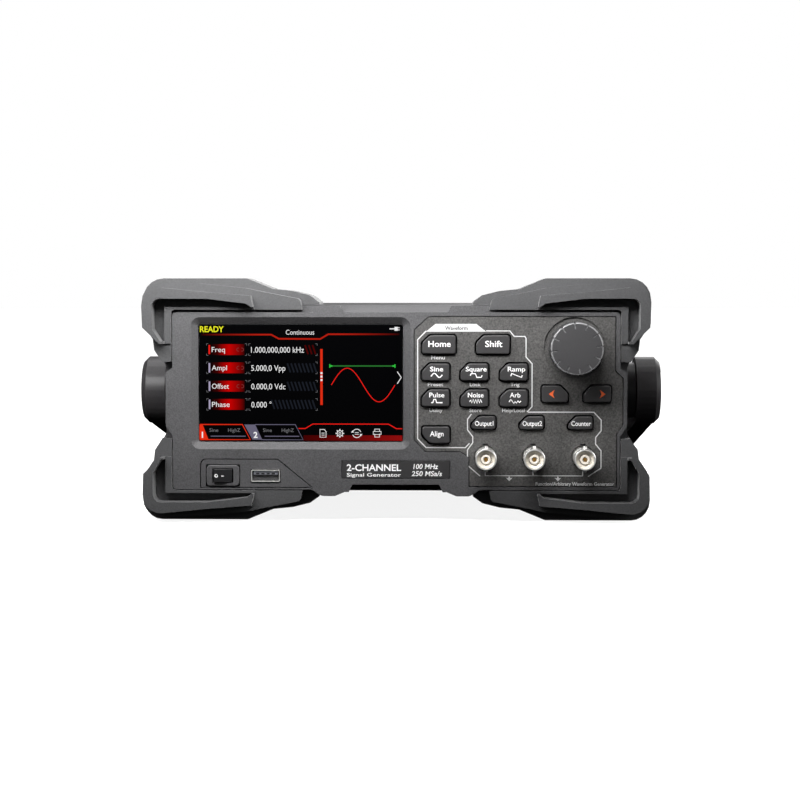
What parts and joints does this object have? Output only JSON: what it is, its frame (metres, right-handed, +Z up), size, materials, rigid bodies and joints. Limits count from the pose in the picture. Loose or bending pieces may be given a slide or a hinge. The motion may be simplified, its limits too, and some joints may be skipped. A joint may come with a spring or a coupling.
{
  "type": "function generator",
  "caption": "Bench function generator with a colour display, keypad, rotary knob, coaxial sockets, rubber corner bumpers and a swinging carry handle.",
  "frame": {"origin": "middle of the footprint, on the surface that the bumpers stand on", "axes": "front panel faces -Y, +X is to its right as a user sees it, +Z up"},
  "size_m": [0.2616, 0.3184, 0.112],
  "materials": {
    "moulding": "fine-textured dark grey moulding",
    "panel": "fine-grained dark grey overlay with light printed lines",
    "key_cap": "satin dark grey caps with white legends",
    "rubber": "matt dark grey elastomer",
    "knob": "satin dark grey with a bright worn edge",
    "dark_plastic": "satin black",
    "handle": "fine-textured dark grey moulding",
    "window": "dark glossy display window",
    "nickel": "bright nickel plate",
    "insulator": "cream polymer",
    "contact": "gold-plated brass",
    "case_paint": "fine-textured dark grey paint on sheet",
    "sheet_metal": "plain rolled sheet",
    "laminate": "green circuit-board laminate"
  },
  "bodies": {
    "root": {"front_bezel": "moulding", "switch_panel": "moulding", "keypad_panel": "panel", "nameplate": "panel", "bumper_upper_left": "rubber", "bumper_lower_left": "rubber", "bumper_upper_right": "rubber", "bumper_lower_right": "rubber", "rear_bumper_left": "rubber", "rear_bumper_right": "rubber", "keypad_mat": "rubber", "switch_housing": "dark_plastic", "fan_frame": "dark_plastic", "mains_inlet": "dark_plastic", "pivot_left": "handle", "pivot_right": "handle", "lcd_glass": "window", "bnc_shell_output_1": "nickel", "bnc_shell_output_2": "nickel", "bnc_shell_counter": "nickel", "rear_bnc_reference": "nickel", "rear_bnc_sync": "nickel", "usb_host_shell": "nickel", "usb_device_port": "nickel", "lan_port": "nickel", "bnc_insulator_output_1": "insulator", "bnc_insulator_output_2": "insulator", "bnc_insulator_counter": "insulator", "usb_host_tongue": "insulator", "bnc_contact_output_1": "contact", "bnc_contact_output_2": "contact", "bnc_contact_counter": "contact", "top_cover": "case_paint", "rear_panel": "case_paint", "chassis_tray": "sheet_metal", "lcd_module": "sheet_metal", "encoder_body": "sheet_metal", "power_supply": "sheet_metal", "front_board": "laminate", "main_board": "laminate"},
    "key_home": {"key_home": "key_cap"},
    "key_shift": {"key_shift": "key_cap"},
    "key_sine": {"key_sine": "key_cap"},
    "key_square": {"key_square": "key_cap"},
    "key_ramp": {"key_ramp": "key_cap"},
    "key_pulse": {"key_pulse": "key_cap"},
    "key_noise": {"key_noise": "key_cap"},
    "key_arb": {"key_arb": "key_cap"},
    "key_align": {"key_align": "key_cap"},
    "key_left": {"key_left": "key_cap"},
    "key_right": {"key_right": "key_cap"},
    "key_output_1": {"key_output_1": "key_cap"},
    "key_output_2": {"key_output_2": "key_cap"},
    "key_counter": {"key_counter": "key_cap"},
    "knob": {"knob": "knob", "encoder_shaft": "sheet_metal"},
    "rocker": {"power_rocker": "dark_plastic"},
    "fan": {"fan_rotor": "dark_plastic"},
    "handle": {"handle": "handle", "handle_grip": "rubber"}
  },
  "joints": [
    {"name": "key_home_press", "type": "slide", "parent": "root", "child": "key_home", "axis": [0, 1, 0], "range_m": [0, 0.001], "stiffness_N_per_m": 600, "springref_m": -0.0015},
    {"name": "key_shift_press", "type": "slide", "parent": "root", "child": "key_shift", "axis": [0, 1, 0], "range_m": [0, 0.001], "stiffness_N_per_m": 600, "springref_m": -0.0015},
    {"name": "key_sine_press", "type": "slide", "parent": "root", "child": "key_sine", "axis": [0, 1, 0], "range_m": [0, 0.001], "stiffness_N_per_m": 600, "springref_m": -0.0015},
    {"name": "key_square_press", "type": "slide", "parent": "root", "child": "key_square", "axis": [0, 1, 0], "range_m": [0, 0.001], "stiffness_N_per_m": 600, "springref_m": -0.0015},
    {"name": "key_ramp_press", "type": "slide", "parent": "root", "child": "key_ramp", "axis": [0, 1, 0], "range_m": [0, 0.001], "stiffness_N_per_m": 600, "springref_m": -0.0015},
    {"name": "key_pulse_press", "type": "slide", "parent": "root", "child": "key_pulse", "axis": [0, 1, 0], "range_m": [0, 0.001], "stiffness_N_per_m": 600, "springref_m": -0.0015},
    {"name": "key_noise_press", "type": "slide", "parent": "root", "child": "key_noise", "axis": [0, 1, 0], "range_m": [0, 0.001], "stiffness_N_per_m": 600, "springref_m": -0.0015},
    {"name": "key_arb_press", "type": "slide", "parent": "root", "child": "key_arb", "axis": [0, 1, 0], "range_m": [0, 0.001], "stiffness_N_per_m": 600, "springref_m": -0.0015},
    {"name": "key_align_press", "type": "slide", "parent": "root", "child": "key_align", "axis": [0, 1, 0], "range_m": [0, 0.001], "stiffness_N_per_m": 600, "springref_m": -0.0015},
    {"name": "key_left_press", "type": "slide", "parent": "root", "child": "key_left", "axis": [0, 1, 0], "range_m": [0, 0.001], "stiffness_N_per_m": 600, "springref_m": -0.0015},
    {"name": "key_right_press", "type": "slide", "parent": "root", "child": "key_right", "axis": [0, 1, 0], "range_m": [0, 0.001], "stiffness_N_per_m": 600, "springref_m": -0.0015},
    {"name": "key_output_1_press", "type": "slide", "parent": "root", "child": "key_output_1", "axis": [0, 1, 0], "range_m": [0, 0.001], "stiffness_N_per_m": 600, "springref_m": -0.0015},
    {"name": "key_output_2_press", "type": "slide", "parent": "root", "child": "key_output_2", "axis": [0, 1, 0], "range_m": [0, 0.001], "stiffness_N_per_m": 600, "springref_m": -0.0015},
    {"name": "key_counter_press", "type": "slide", "parent": "root", "child": "key_counter", "axis": [0, 1, 0], "range_m": [0, 0.001], "stiffness_N_per_m": 600, "springref_m": -0.0015},
    {"name": "knob_turn", "type": "hinge", "parent": "root", "child": "knob", "pos_m": [0.0819, -0.1408, 0.0802], "axis": [0, -1, 0], "continuous": true},
    {"name": "rocker_tip", "type": "hinge", "parent": "root", "child": "rocker", "pos_m": [-0.0797, -0.1405, 0.0212], "axis": [0, 0, -1], "range_deg": [0, 14]},
    {"name": "fan_spin", "type": "hinge", "parent": "root", "child": "fan", "pos_m": [-0.014, 0.1092, 0.058], "axis": [0, 1, 0], "continuous": true},
    {"name": "handle_swing", "type": "hinge", "parent": "root", "child": "handle", "pos_m": [0, -0.0438, 0.056], "axis": [1, 0, 0], "range_deg": [0, 240]}
  ]
}
